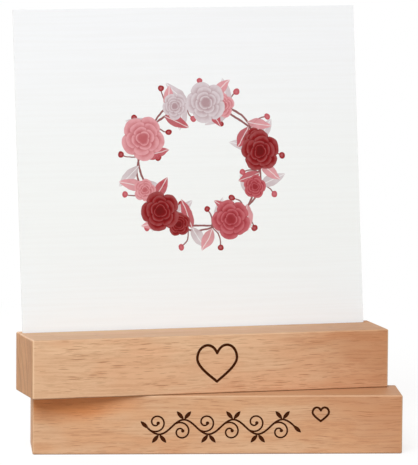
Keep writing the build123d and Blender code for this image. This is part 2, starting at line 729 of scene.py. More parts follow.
@dataclass(frozen=True)
class Char:
    """Burnt wood of the engraved lines, dull and dark, and lighter towards their rims.

    Attributes:
        floor: Colour at a line's floor.
        rim: Colour at its rim.
        rim_depth: Depth at which the rim's colour is full, in millimetres.
        blotches: How unevenly it is burnt.
        shade_span: Nearness to the rim, with the blotches, between which the colours change.
        ridge_spacing: Distance between the passes of the burning, in millimetres.
        ridge_height: Height of its ridges, as a share of the relief.
        crust: Figure of the crust.
        crust_height: Height of the crust, as a share of the relief.
        relief: Depth of the relief, in millimetres.
        roughness: Its roughness.
        shine: Its specular level.
    """

    floor: Colour = srgb(70, 32, 10)
    rim: Colour = srgb(100, 54, 24)
    rim_depth: float = 0.05
    blotches: Cloud = Cloud((1.5, 1.0, 0.5), depth=0.8, detail=2.0)
    shade_span: Span = (0.0, 1.2)
    ridge_spacing: float = 0.18
    ridge_height: float = 0.3
    crust: Cloud = Cloud((0.3, 0.3, 0.3), detail=2.0)
    crust_height: float = 0.6
    relief: float = 0.03
    roughness: float = 0.95
    shine: float = 0.08

    def shader(self, graph: Graph, place: Place, sizes: BlockSizes) -> bpy.types.NodeSocket:
        """Make the shader of the burnt lines.

        Args:
            graph: The material.
            place: The block's own coordinates.
            sizes: The block's sizes.

        Returns:
            The shader.
        """
        rim = (place[1] + sizes.depth / 2).fade(sizes.engraving_depth, self.rim_depth)
        shade = (rim + self.blotches.swing(graph, *place)).fade(*self.shade_span)
        ridges = (place[2] * (FULL_TURN / self.ridge_spacing)).sine() * self.ridge_height
        crust = self.crust.level(graph, *place) * self.crust_height
        return graph.shader(
            {
                "Base Color": graph.blend(shade, self.floor, self.rim),
                "Roughness": self.roughness,
                "Specular IOR Level": self.shine,
                "Normal": graph.bump(ridges + crust, self.relief),
            }
        )


@dataclass(frozen=True)
class Beech:
    """Sanded, bare beech, whose figure runs through the whole block.

    Attributes:
        grain: Where the wood's figure lies.
        char: Finish of its burnt lines.
        overhang_shade_patch: Painted shade, a redder and darker patch below an overhanging part, where it
            has one.
        pale: Colour of its paler patches, and of the rays on its ends.
        rosy: Colour of its rosier patches.
        patches: Where it is rosy.
        redder_shaded_end: Redder, darker colour towards the block's right end, partly redder wood and partly
            painted shade where the light falls off.
        redness: How the redder, shaded end and the painted overhang shade fray.
        shaded_end_rise: Height over which it moves by half the block's length, in millimetres.
        shaded_end_fray: How far its border strays, in half lengths of the block.
        shaded_end_span: Where it begins and is full, in half lengths from the block's middle.
        shaded_end_share: How strong it is where it is full.
        overhang_shade: Colour of the painted overhang shade.
        flats_tone_and_shade: Colour of the top and the underside, partly their own greyer tone and partly
            painted shade that keeps the lit top from showing brighter.
        flats_tone_and_shade_share: How strong that colour is there.
        ring: Colour of the rings, and of the fine fibres.
        ring_share: How strong the rings are on the front and the back.
        more_rings: How much stronger they are on the top and the underside.
        fibre_span: Fibre figure at which the fibres begin to darken, and are full.
        fibre_share: How strong they are.
        dash: Colour of the rays' dashes.
        dash_share: How strong they are.
        broken: Where the dashes on the top are broken further.
        broken_loss: Share of them that is lost there.
        flat_loss: Share of them that is lost all over the top.
        end_grain: Colour of the ends.
        end_share: How strong it is.
        end_ring: Colour of the rings on the ends.
        end_ring_share: How strong they are.
        end_lines: Finer lines between the rings.
        end_line_share: How strong these are.
        end_rays: The rays, as fine pale lines across the rings.
        end_ray_share: How strong these are.
        arris_wear_and_highlight: Paler colour of the eased arrises, partly sanded wear and partly a painted
            highlight where they catch the light.
        arris_highlight_share: How strong it is on all of them.
        upright_highlight_share: How much stronger it is on the upright ones, where the painted highlight is
            brightest.
        foot_painted_shading: Painted contact shade, a dark colour along the lowest arrises.
        foot_painted_span: Heights at which the painted contact shade begins and is full, in millimetres.
        foot_shade_share: How strong the painted contact shade is.
        sawn: Colour of the kerf's walls.
        sawn_share: How strong it is.
        turned_span: Cosines at which a face begins to count as a flat or an end, and does.
        roughness: Roughness of the sanded wood.
        dash_roughness: Roughness of the dashes.
        end_roughening: How much rougher the ends are.
        sawn_roughening: How much rougher the kerf's walls are.
        dash_height: Height of the dashes against the fibres.
        fibre_depth: Depth of the fibres' relief, in millimetres.
        ior: Index of refraction.
    """

    grain: Grain = Grain()
    char: Char = Char()
    # Painted shade below an overhanging part, where the block has one.
    overhang_shade_patch: Optional[PaintedShadePatch] = None

    pale: Colour = srgb(230, 189, 151)
    rosy: Colour = srgb(229, 182, 143)
    patches: Cloud = Cloud((22.0, 9.0, 7.0), span=(0.38, 0.62))
    # Partly redder wood, partly painted shade towards the right end.
    redder_shaded_end: Colour = srgb(184, 116, 68)
    redness: Cloud = Cloud((18.0, 9.0, 6.0))
    shaded_end_rise: float = 60.0
    shaded_end_fray: float = 0.6
    shaded_end_span: Span = (0.25, 1.15)
    shaded_end_share: float = 0.75
    # Colour of the painted overhang shade.
    overhang_shade: Colour = srgb(213, 126, 50)
    # Tone of the top and underside, partly painted shade.
    flats_tone_and_shade: Colour = srgb(186, 148, 109)
    flats_tone_and_shade_share: float = 0.45

    ring: Colour = srgb(196, 148, 110)
    ring_share: float = 0.22
    more_rings: float = 0.16
    fibre_span: Span = (0.56, 0.38)
    fibre_share: float = 0.24
    dash: Colour = srgb(156, 96, 54)
    dash_share: float = 0.72
    broken: Cloud = Cloud((4.0, 3.0, 4.0), span=(0.62, 0.45))
    broken_loss: float = 0.4
    flat_loss: float = 0.55

    end_grain: Colour = srgb(198, 144, 96)
    end_share: float = 0.85
    end_ring: Colour = srgb(160, 107, 62)
    end_ring_share: float = 0.35
    end_lines: Cloud = Cloud((2.0, 18.0, 30.0), span=(0.46, 0.66), detail=3.0, roughness=0.6)
    end_line_share: float = 0.5
    end_rays: Cloud = Cloud((7.0, 0.4, 5.0), span=(0.55, 0.7))
    end_ray_share: float = 0.12

    # Sanded wear and painted highlight on the arrises.
    arris_wear_and_highlight: Colour = srgb(240, 204, 166)
    arris_highlight_share: float = 0.22
    upright_highlight_share: float = 0.48
    # Painted contact shade along the lowest arrises.
    foot_painted_shading: Colour = srgb(112, 64, 36)
    foot_painted_span: Span = (0.6, 0.15)
    foot_shade_share: float = 0.6
    sawn: Colour = srgb(196, 152, 112)
    sawn_share: float = 0.8

    turned_span: Span = (0.35, 0.9)
    roughness: float = 0.52
    dash_roughness: float = 0.44
    end_roughening: float = 0.15
    sawn_roughening: float = 0.2
    dash_height: float = -0.25
    fibre_depth: float = 0.03
    ior: float = 1.45

    def material(
        self, name: str, seat: Seat, sizes: BlockSizes, kerf: Optional[KerfSizes]
    ) -> bpy.types.Material:
        """Make the finish for one block.

        Args:
            name: Name of the material.
            seat: Where the block lies.
            sizes: The block's sizes.
            kerf: The kerf's sizes, where the block has one.

        Returns:
            The material.
        """
        made, graph = start_material(name)
        place = seat.own_place(graph)
        bent = self.grain.bend(graph, place)
        dashes = self.grain.dashes(graph, bent)
        fibres = self.grain.fibres(graph, bent)
        flats = abs(seat.facing(graph, (0.0, 0.0, 1.0))).fade(*self.turned_span)
        ends = abs(seat.facing(graph, (1.0, 0.0, 0.0))).fade(*self.turned_span)

        colour = self._body_colour(graph, sizes, place, bent, flats)
        lines = fibres.fade(*self.fibre_span) * self.fibre_share
        colour = graph.blend(lines, colour, self.ring, BlendMode.MULTIPLY)
        lost = self.broken.mask(graph, *place) * self.broken_loss + self.flat_loss
        shown = (1.0 - flats * lost) * self.dash_share
        colour = graph.blend(dashes * shown, colour, self.dash)
        colour = graph.blend(ends * self.end_share, colour, self._end_colour(graph, bent))
        edges, uprights = sizes.arrises(place)
        # Paler arrises: sanded wear and a painted highlight, strongest on the upright edges.
        eased = edges * self.arris_highlight_share + uprights * self.upright_highlight_share
        colour = graph.blend(eased, colour, self.arris_wear_and_highlight)
        # Painted contact shade: darker along the lowest arrises, where the block sits on what lies below.
        painted_contact_shade = edges * place[2].fade(*self.foot_painted_span) * self.foot_shade_share
        colour = graph.blend(painted_contact_shade, colour, self.foot_painted_shading)
        rough = self.roughness + (self.dash_roughness - self.roughness) * dashes + ends * self.end_roughening
        if kerf:
            sawn = kerf.inside(place, sizes)
            colour = graph.blend(sawn * self.sawn_share, colour, self.sawn)
            rough = rough + sawn * self.sawn_roughening

        normal = graph.bump(fibres + dashes * self.dash_height, self.fibre_depth)
        wood = graph.shader({"Base Color": colour, "Roughness": rough, "IOR": self.ior, "Normal": normal})
        graph.finish(graph.mix(sizes.engraved(place), wood, self.char.shader(graph, place, sizes)))
        return made

    def _body_colour(
        self, graph: Graph, sizes: BlockSizes, place: Place, bent: Place, flats: Signal
    ) -> bpy.types.NodeSocket:
        """Colour of the plain wood, from patches, a redder end with painted shade, a patch of painted
        overhang shade, painted shade on the flats, and the rings.

        Args:
            graph: The material.
            sizes: The block's sizes.
            place: The block's own coordinates.
            bent: The bent coordinates.
            flats: One on the top and the underside, zero on the sides.

        Returns:
            The colour.
        """
        colour = graph.blend(self.patches.mask(graph, *bent), self.pale, self.rosy)
        redness = self.redness.swing(graph, *bent)
        # Redder and darker towards the right end: partly redder wood, partly painted shade where the light
        # falls off.
        raised = (place[2] - sizes.height / 2) / self.shaded_end_rise
        endwards = place[0] / (sizes.length / 2) + raised + redness * self.shaded_end_fray
        share = endwards.fade(*self.shaded_end_span) * self.shaded_end_share
        colour = graph.blend(share, colour, self.redder_shaded_end)
        # Painted shade: a redder, darker patch below an overhanging part.
        if self.overhang_shade_patch:
            colour = graph.blend(self.overhang_shade_patch.strength(place, redness), colour, self.overhang_shade)
        # Top and underside darker: partly their own tone, partly painted shade.
        colour = graph.blend(flats * self.flats_tone_and_shade_share, colour, self.flats_tone_and_shade)
        radius, _ = self.grain.round_pith(bent)
        rings = self.grain.rings(graph, radius) * (flats * self.more_rings + self.ring_share)
        return graph.blend(rings, colour, self.ring)

    def _end_colour(self, graph: Graph, bent: Place) -> bpy.types.NodeSocket:
        """Colour of the end grain, with its rings and fine rays.

        Args:
            graph: The material.
            bent: The bent coordinates.

        Returns:
            The colour.
        """
        radius, arc = self.grain.round_pith(bent)
        rings = self.grain.rings(graph, radius) * self.end_ring_share
        lines = self.end_lines.mask(graph, radius, arc, bent[0]) * self.end_line_share
        rays = self.end_rays.mask(graph, radius, arc, bent[0]) * self.end_ray_share
        colour = graph.blend(rings + lines, self.end_grain, self.end_ring)
        return graph.blend(rays, colour, self.pale)


@dataclass(frozen=True)
class CardStock:
    """Smooth matt card with faint laid lines across it.

    Attributes:
        top: Its colour at the top.
        middle: Its colour below that.
        foot_painted_shading: Its colour at the foot, paler and cooler as painted light against the shade and
            the warm bounce from the block below.
        top_span: Shares of its height at which the top's colour begins, and is full.
        foot_painted_span: Shares of its height at which the painted foot colour begins, and is full.
        laid: Colour of the laid lines.
        laid_lines: Their figure.
        laid_layer: Third coordinate at which that figure is taken.
        laid_share: How strong they are.
        tooth: Figure of its fine relief.
        tooth_depth: Depth of that relief, in millimetres.
        roughness: Its roughness.
        shine: Its specular level.
    """

    top: Colour = srgb(245, 247, 249)
    middle: Colour = srgb(244, 247, 246)
    # Painted light at the foot, against the block's shade.
    foot_painted_shading: Colour = srgb(245, 250, 252)
    top_span: Span = (0.45, 0.95)
    foot_painted_span: Span = (0.4, 0.0)
    laid: Colour = srgb(236, 236, 234)
    laid_lines: Cloud = Cloud((60.0, 1.2, 1.0), span=(0.40, 0.62))
    laid_layer: float = 2.0
    laid_share: float = 0.13
    tooth: Cloud = Cloud((0.5, 0.5, 1.0), detail=2.0)
    tooth_depth: float = 0.012
    roughness: float = 0.62
    shine: float = 0.18

    def paper(self, graph: Graph, across: Signal, up: Signal, share: Signal) -> bpy.types.NodeSocket:
        """Colour of the bare card.

        Args:
            graph: The material.
            across: Place across the card, in millimetres.
            up: Place up the card, in millimetres.
            share: Height of that place, as a share of the card's.

        Returns:
            The colour.
        """
        colour = graph.blend(share.fade(*self.top_span), self.middle, self.top)
        # Painted light: the foot is paler and cooler, against the shade and the warm bounce of the block.
        colour = graph.blend(share.fade(*self.foot_painted_span), colour, self.foot_painted_shading)
        lines = self.laid_lines.mask(graph, across, up, self.laid_layer)
        return graph.blend(lines * self.laid_share, colour, self.laid)

    def shader(
        self, graph: Graph, across: Signal, up: Signal, colour: bpy.types.NodeSocket
    ) -> bpy.types.NodeSocket:
        """Make the shader of the printed card.

        Args:
            graph: The material.
            across: Place across the card, in millimetres.
            up: Place up the card, in millimetres.
            colour: Its colour with the print on it.

        Returns:
            The shader.
        """
        return graph.shader(
            {
                "Base Color": colour,
                "Roughness": self.roughness,
                "Specular IOR Level": self.shine,
                "Normal": graph.bump(self.tooth.level(graph, across, up, 0.0), self.tooth_depth),
            }
        )


class Ink(Enum):
    """Colours of the print."""

    CRIMSON = srgb(154, 10, 18)
    ROSE = srgb(198, 84, 94)
    PINK = srgb(232, 158, 164)
    MAUVE = srgb(224, 209, 213)
    TWIG = srgb(150, 92, 92)
    WHITE = (1.0, 1.0, 1.0)

    def towards(self, other: "Ink", share: float) -> Colour:
        """This colour with that share of the other in its place."""
        return tuple(own + (aim - own) * share for own, aim in zip(self.value, other.value))


@dataclass(frozen=True)
class Brush:
    """What the motifs of the print are painted with.

    Attributes:
        graph: The material.
        wash: Noise to either side of zero by which the ink pools.
        edge: Distance over which an outline fades, in millimetres.
    """

    graph: Graph
    wash: Signal
    edge: float


@dataclass(frozen=True)
class Spot:
    """One of a number of like places round the wreath.

    Attributes:
        along: Distance from the spot in its own first direction, in millimetres.
        across: Distance in its own second direction, in millimetres.
        share: Which spot it is, as a share of the full round.
        luck: A random number from 0 to 1 that is the spot's own.
    """

    along: Signal
    across: Signal
    share: Signal
    luck: Signal

    def reach(self) -> Signal:
        """Distance from the spot, in millimetres."""
        return self.along.hypotenuse(self.across)


@dataclass(frozen=True)
class Ring:
    """How a number of like spots lie round the wreath.

    Attributes:
        count: How many there are.
        out: Distance outwards from the twigs, in millimetres.
        phase: Share of a step by which the first one is turned on.
        turn: Turn of each spot's own directions against straight out, in degrees.
        scatter: How far each strays in and out, in millimetres.
        spread: How far each one's turn strays, in degrees.
    """

    count: int
    out: float = 0.0
    phase: float = 0.0
    turn: float = 0.0
    scatter: float = 1.5
    spread: float = 20.0

    def spot(self, graph: Graph, radius: float, right: Signal, up: Signal) -> Spot:
        """Nearest spot to a place on the print.

        Args:
            graph: The material.
            radius: Radius of the twigs, in millimetres.
            right: Place to the right of the wreath's middle, in millimetres.
            up: Place above it, in millimetres.

        Returns:
            The spot.
        """
        reach = right.hypotenuse(up)
        step = up.angle(right) * (self.count / FULL_TURN) + self.phase
        index = step.floor()
        swing = (step - index - MIDDLE) * (FULL_TURN / self.count)
        number = index % self.count + MIDDLE
        middle = radius + self.out
        first, second, third = graph.chance(number, self.count, middle + self.turn)
        out = reach * swing.cosine() - middle - (first - MIDDLE) * self.scatter
        side = reach * swing.sine()
        turn = math.radians(self.turn) + (second - MIDDLE) * math.radians(self.spread)
        cosine, sine = turn.cosine(), turn.sine()
        return Spot(out * cosine + side * sine, side * cosine - out * sine, number / self.count, third)


@dataclass(frozen=True)
class Twigs:
    """Two thin twigs that twist round each other.

    Attributes:
        swing: How far each goes to either side, in millimetres.
        waves: How often it does so in the full round.
        phases: Where in its wave each starts, in radians.
        half_width: Half of each one's width, in millimetres.
    """

    swing: float = 1.1
    waves: float = 5.0
    phases: Tuple[float, float] = (0.0, 0.7)
    half_width: float = 0.30

    def paint(
        self, brush: Brush, under: Paint, radius: float, right: Signal, up: Signal
    ) -> bpy.types.NodeSocket:
        """Paint the twigs over what lies under them.

        Args:
            brush: What they are painted with.
            under: Colour below.
            radius: Mean radius of the two, in millimetres.
            right: Place to the right of the wreath's middle, in millimetres.
            up: Place above it, in millimetres.

        Returns:
            The colour.
        """
        angle, reach = up.angle(right), right.hypotenuse(up)
        first, second = (
            abs(reach - ((angle * self.waves + phase).sine() * swing + radius))
            for swing, phase in zip((self.swing, -self.swing), self.phases)
        )
        share = first.at_most(second).fade(self.half_width + brush.edge, self.half_width)
        return brush.graph.blend(share, under, Ink.TWIG.value)


@dataclass(frozen=True)
class Berries:
    """Small round berries, each on a bowed stalk.

    Attributes:
        radius: A berry's radius, in millimetres.
        half_stalk: Half of a stalk's width, in millimetres.
        bow: How far a stalk bows to its side, in millimetres.
        crimson_share: Share of them that are crimson, while the rest are rose.
        shine_share: How pale a berry is at its middle.
        pooling: How much the ink pools.
    """

    radius: float = 1.15
    half_stalk: float = 0.16
    bow: float = 1.2
    crimson_share: float = 0.5
    shine_share: float = 0.35
    pooling: float = 0.4

    def paint(self, brush: Brush, under: Paint, spot: Spot, out: float) -> bpy.types.NodeSocket:
        """Paint one ring of berries and their stalks.

        Args:
            brush: What they are painted with.
            under: Colour below.
            spot: Place in the berry's own directions.
            out: How far outwards from the twigs the berries lie, in millimetres.

        Returns:
            The colour.
        """
        graph = brush.graph
        bow = (spot.along * (math.pi / out)).sine() * self.bow
        stalk = abs(spot.across + bow).fade(self.half_stalk + brush.edge, self.half_stalk)
        low, high = sorted((0.0, -out))
        stalk = stalk * (spot.along - low).over(0.0) * (high - spot.along).over(0.0)
        art = graph.blend(stalk, under, Ink.TWIG.value)
        reach = spot.reach()
        dye = graph.blend(spot.luck.over(self.crimson_share), Ink.CRIMSON.value, Ink.ROSE.value)
        shine = reach.fade(self.radius, 0.0) * self.shine_share + brush.wash * self.pooling
        ball = graph.blend(shine, dye, Ink.PINK.value)
        return graph.blend(reach.fade(self.radius + brush.edge, self.radius), art, ball)


@dataclass(frozen=True)
class Leaves:
    """Pointed leaves with a pale midrib.

    Attributes:
        length: Length that a leaf's shares are taken of, in millimetres.
        least_share: Share of it that the shortest leaf has.
        spread_share: Share of it that the longest one has in addition.
        half_width: Half of a leaf's width at its middle, in millimetres.
        root_width: Factor on that width at the root.
        tip_loss: What that factor loses by the tip.
        least_width: The least that it may be.
        deep_share: How much of the twigs' ink the deeper shade holds.
        shade_span: Shares of the length at which the deeper shade begins, and is full.
        shade_share: How strong it is at the root.
        pooling: How much the ink pools.
        rim_width: Width of the deeper rim, in millimetres.
        rim_share: How strong the rim is.
        midrib_span: Distances from the midrib at which it begins, and is full, in millimetres.
        midrib_share: How pale it is.
        cover: How much a leaf covers what lies under it.
    """

    length: float = 12.5
    least_share: float = 0.8
    spread_share: float = 0.3
    half_width: float = 2.4
    root_width: float = 1.2
    tip_loss: float = 0.4
    least_width: float = 0.1
    deep_share: float = 0.45
    shade_span: Span = (0.9, 0.0)
    shade_share: float = 0.6
    pooling: float = 0.9
    rim_width: float = 0.35
    rim_share: float = 0.5
    midrib_span: Span = (0.26, 0.08)
    midrib_share: float = 0.6
    cover: float = 0.95

    def paint(self, brush: Brush, under: Paint, spot: Spot, dye: Ink) -> bpy.types.NodeSocket:
        """Paint one ring of leaves.

        Args:
            brush: What they are painted with.
            under: Colour below.
            spot: Place in the leaf's own directions.
            dye: The leaves' colour.

        Returns:
            The colour.
        """
        graph = brush.graph
        grown = spot.luck * (self.spread_share * self.length) + self.least_share * self.length
        share = spot.along / grown
        taper = (self.root_width - share * self.tip_loss).at_least(self.least_width)
        room = share * (1.0 - share) * (BULGE * self.half_width) * taper - abs(spot.across)
        deep = dye.towards(Ink.TWIG, self.deep_share)
        shade = share.fade(*self.shade_span) * self.shade_share + brush.wash * self.pooling
        leaf = graph.blend(shade, dye.value, deep)
        leaf = graph.blend(room.fade(self.rim_width, 0.0) * self.rim_share, leaf, deep)
        midrib = abs(spot.across).fade(*self.midrib_span) * self.midrib_share
        leaf = graph.blend(midrib, leaf, Ink.WHITE.value)
        return graph.blend(room.fade(0.0, brush.edge) * self.cover, under, leaf)


@dataclass(frozen=True)
class Petals:
    """One round of a blossom's petals.

    Attributes:
        share: Its radius, as a share of the blossom's.
        count: How many petals it has.
        phase: How far its petals are turned on, in radians of their lobes' wave.
    """

    share: float
    count: int
    phase: float


@dataclass(frozen=True)
class Blossoms:
    """Full blossoms, petals over petals, paler towards their rims.

    Attributes:
        rounds: The rounds of petals, from the outermost.
        dyes: Colours round the wreath, each over an equal share of it.
        ink_share: How much crimson the deep shade holds, and how much white the pale one.
        deep_share: How strong the deep shade is.
        pale_share: How strong the pale shade is.
        least_share: Radius of the smallest blossom, as a share of the largest one's.
        luck_turn: How far chance turns the petals at most, in the radians of their phase.
        lobe_power: Power that makes the lobes blunt.
        lobe_share: Share of a round's radius that its lobes take up.
        tone_span: Shares of a petal's reach at which it begins to be pale, and is full.
        pooling: How much the ink pools.
        pale_start: Tone at which the pale shade begins.
        pale_gain: How fast it grows from there.
        cleft_span: Lobe heights at which the cleft between petals begins, and is full.
        cleft_share: How dark the clefts are.
        rim_width: Width of the deeper rim, in millimetres.
        rim_share: How strong the rim is.
        eye_shares: Shares of the radius at which the eye begins, and is full.
    """

    rounds: Tuple[Petals, ...] = (
        Petals(share=1.0, count=5, phase=0.0),
        Petals(share=0.76, count=5, phase=0.6),
        Petals(share=0.53, count=4, phase=0.2),
        Petals(share=0.33, count=3, phase=0.9),
    )
    dyes: Tuple[Ink, ...] = (
        Ink.CRIMSON,
        Ink.PINK,
        Ink.MAUVE,
        Ink.ROSE,
        Ink.PINK,
        Ink.CRIMSON,
        Ink.MAUVE,
        Ink.ROSE,
    )
    ink_share: float = 0.5
    deep_share: float = 0.75
    pale_share: float = 0.24
    least_share: float = 0.85
    luck_turn: float = 3.0
    lobe_power: float = 0.55
    lobe_share: float = 0.20
    tone_span: Span = (0.50, 1.0)
    pooling: float = 0.9
    pale_start: float = 0.55
    pale_gain: float = 1.2
    cleft_span: Span = (0.5, 0.15)
    cleft_share: float = 0.5
    rim_width: float = 0.28
    rim_share: float = 0.45
    eye_shares: Span = (0.13, 0.05)

    def paint(self, brush: Brush, under: Paint, spot: Spot, size: float) -> bpy.types.NodeSocket:
        """Paint one ring of blossoms.

        Args:
            brush: What they are painted with.
            under: Colour below.
            spot: Place in the blossom's own directions.
            size: Radius of the largest blossom, in millimetres.

        Returns:
            The colour.
        """
        graph = brush.graph
        steps = [dye.value for dye in self.dyes]
        dye = graph.node("ShaderNodeValToRGB", {"steps": steps}, {"Fac": spot.share}).outputs["Color"]
        crimsoned = graph.blend(self.ink_share, dye, Ink.CRIMSON.value)
        whitened = graph.blend(self.ink_share, dye, Ink.WHITE.value, BlendMode.SCREEN)
        deep = graph.blend(self.deep_share, dye, crimsoned, BlendMode.MULTIPLY)
        pale = graph.blend(self.pale_share, dye, whitened)
        reach = spot.reach() / (spot.luck * (1.0 - self.least_share) + self.least_share)
        angle = spot.across.angle(spot.along)
        art = under
        for petals in self.rounds:
            radius = size * petals.share
            wave = angle * (petals.count / 2) + petals.phase + spot.luck * self.luck_turn
            lobe = abs(wave.cosine()) ** self.lobe_power
            rim = lobe * (radius * self.lobe_share) + radius * (1.0 - self.lobe_share)
            room = rim - reach
            tone = (reach / rim).fade(*self.tone_span) + brush.wash * self.pooling
            petal = graph.blend(tone, deep, dye)
            petal = graph.blend((tone - self.pale_start) * self.pale_gain, petal, pale)
            petal = graph.blend(lobe.fade(*self.cleft_span) * self.cleft_share, petal, deep)
            petal = graph.blend(room.fade(self.rim_width, 0.0) * self.rim_share, petal, deep)
            art = graph.blend(room.fade(0.0, brush.edge), art, petal)
        eye_span = (size * share for share in self.eye_shares)
        return graph.blend(reach.fade(*eye_span), art, deep)


@dataclass(frozen=True)
class Wreath:
    """Printed wreath of blossoms, leaves and berries round two twisted twigs.

    Attributes:
        middle: Place of its middle on the card, in millimetres.
        radius: Radius of the twigs, in millimetres.
        edge: Distance over which an outline fades, in millimetres.
        tremble: How far painted lines stray to the side and up.
        tremble_layers: Third coordinates at which the tremble to the side and up are taken.
        wash: How the ink pools.
        wash_layer: Third coordinate at which that is taken.
        twigs: Its twigs.
        berries: Its berries.
        berry_rings: The rings of berries.
        leaves: Its leaves.
        leaf_rings: The rings of leaves and their colours, from the lowest.
        blossoms: Its blossoms.
        blossom_rings: The rings of blossoms, with the radius of their largest, from the lowest.
    """

    middle: Tuple[float, float] = (4.5, 8.0)
    radius: float = 26.0
    edge: float = 0.22
    tremble: Cloud = Cloud((6.0, 6.0, 1.0), depth=1.5, detail=2.0)
    tremble_layers: Tuple[float, float] = (0.0, 9.0)
    wash: Cloud = Cloud((2.6, 2.6, 1.0), detail=3.0)
    wash_layer: float = 4.0

    twigs: Twigs = Twigs()
    berries: Berries = Berries()
    berry_rings: Tuple[Ring, ...] = (Ring(13, out=8.5, phase=0.3), Ring(10, out=-7.5, phase=0.8))
    leaves: Leaves = Leaves()
    leaf_rings: Tuple[Tuple[Ring, Ink], ...] = (
        (Ring(9, phase=0.0, turn=38.0), Ink.MAUVE),
        (Ring(9, phase=0.5, turn=-42.0), Ink.PINK),
        (Ring(8, phase=0.2, turn=150.0), Ink.MAUVE),
        (Ring(8, phase=0.7, turn=205.0), Ink.ROSE),
    )
    blossoms: Blossoms = Blossoms()
    blossom_rings: Tuple[Tuple[Ring, float], ...] = (
        (Ring(8, scatter=3.0, spread=90.0), 5.6),
        (Ring(5, phase=0.35, spread=90.0), 9.6),
    )

    def colour(self, graph: Graph, across: Signal, height: Signal) -> bpy.types.NodeSocket:
        """Colour of the ink at each place on the card.

        Args:
            graph: The material.
            across: Place across the card, in millimetres.
            height: Place up the card, in millimetres.

        Returns:
            The ink's colour, white where there is none.
        """
        right, up = (
            value - middle + self.tremble.swing(graph, across, height, layer)
            for value, middle, layer in zip((across, height), self.middle, self.tremble_layers)
        )
        brush = Brush(graph, self.wash.swing(graph, across, height, self.wash_layer), self.edge)
        art = self.twigs.paint(brush, Ink.WHITE.value, self.radius, right, up)
        for ring in self.berry_rings:
            art = self.berries.paint(brush, art, ring.spot(graph, self.radius, right, up), ring.out)
        for ring, dye in self.leaf_rings:
            art = self.leaves.paint(brush, art, ring.spot(graph, self.radius, right, up), dye)
        for ring, size in self.blossom_rings:
            art = self.blossoms.paint(brush, art, ring.spot(graph, self.radius, right, up), size)
        return art


@dataclass
class Block:
    """One solid bar of beech.

    Attributes:
        node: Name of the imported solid.
        seat: Where it lies.
        finish: Its wood.
        sizes: Its sizes.
        kerf: Its kerf, where it has one.
    """

    node: str
    seat: Seat
    finish: Beech
    sizes: BlockSizes = BlockSizes()
    kerf: Optional[KerfSizes] = None

    def build(self) -> bpy.types.Object:
        """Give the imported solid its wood, and return it."""
        wood = self.finish.material(f"beech_{self.node}", self.seat, self.sizes, self.kerf)
        return dress(self.node, wood)


@dataclass
class PhotoCard:
    """The printed card that stands in the kerf.

    Attributes:
        node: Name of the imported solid.
        seat: Where the block that holds it lies.
        sizes: Sizes of that block.
        kerf: The kerf that it stands in.
        height: Its height along the slope, in millimetres.
        shift: How far it stands from the middle of the block, in millimetres.
        stock: Its card.
        wreath: Its print.
        printed_from: Cosine above which a surface counts as its front.
    """

    node: str
    seat: Seat
    sizes: BlockSizes = BlockSizes()
    kerf: KerfSizes = KerfSizes()
    height: float = 145.0
    shift: float = -0.9
    stock: CardStock = CardStock()
    wreath: Wreath = Wreath()
    printed_from: float = 0.5

    def build(self) -> bpy.types.Object:
        """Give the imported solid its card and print.

        Returns:
            The dressed solid.
        """
        made, graph = start_material("printed_card")
        across, up = self._sheet_place(graph)
        paper = self.stock.paper(graph, across, up, up / self.height + MIDDLE)
        lean = math.radians(self.kerf.lean)
        front = self.seat.facing(graph, (0.0, -math.cos(lean), math.sin(lean))).over(self.printed_from)
        printed = graph.blend(front, paper, self.wreath.colour(graph, across, up), BlendMode.MULTIPLY)
        graph.finish(self.stock.shader(graph, across, up, printed))
        return dress(self.node, made)

    def _sheet_place(self, graph: Graph) -> Tuple[Signal, Signal]:
        """Place on the sheet, from its middle, in millimetres.

        Args:
            graph: The material.

        Returns:
            Place across the sheet and up its slope.
        """
        place = self.seat.own_place(graph)
        _, up = self.kerf.slope_place(place, self.sizes)
        return place[0] - self.shift, up - (self.height / 2 - self.kerf.depth)


@dataclass(frozen=True)
class Lamp:
    """One square soft lamp.

    Attributes:
        name: Its name.
        place: Where it hangs, in metres.
        size: Length of its side, in metres.
        power: Its power in watts.
        colour: Its colour.
    """

    name: str
    place: Triple
    size: float
    power: float
    colour: Colour

    def hang(self, aim: Triple) -> None:
        """Add the lamp to the scene.

        Args:
            aim: The point that it looks at, in metres.
        """
        light = bpy.data.lights.new(self.name, "AREA")
        light.size, light.energy, light.color = self.size, self.power, self.colour
        lamp = bpy.data.objects.new(self.name, light)
        lamp.location = self.place
        lamp.rotation_euler = (Vector(aim) - Vector(self.place)).to_track_quat("-Z", "Y").to_euler()
        bpy.context.scene.collection.objects.link(lamp)


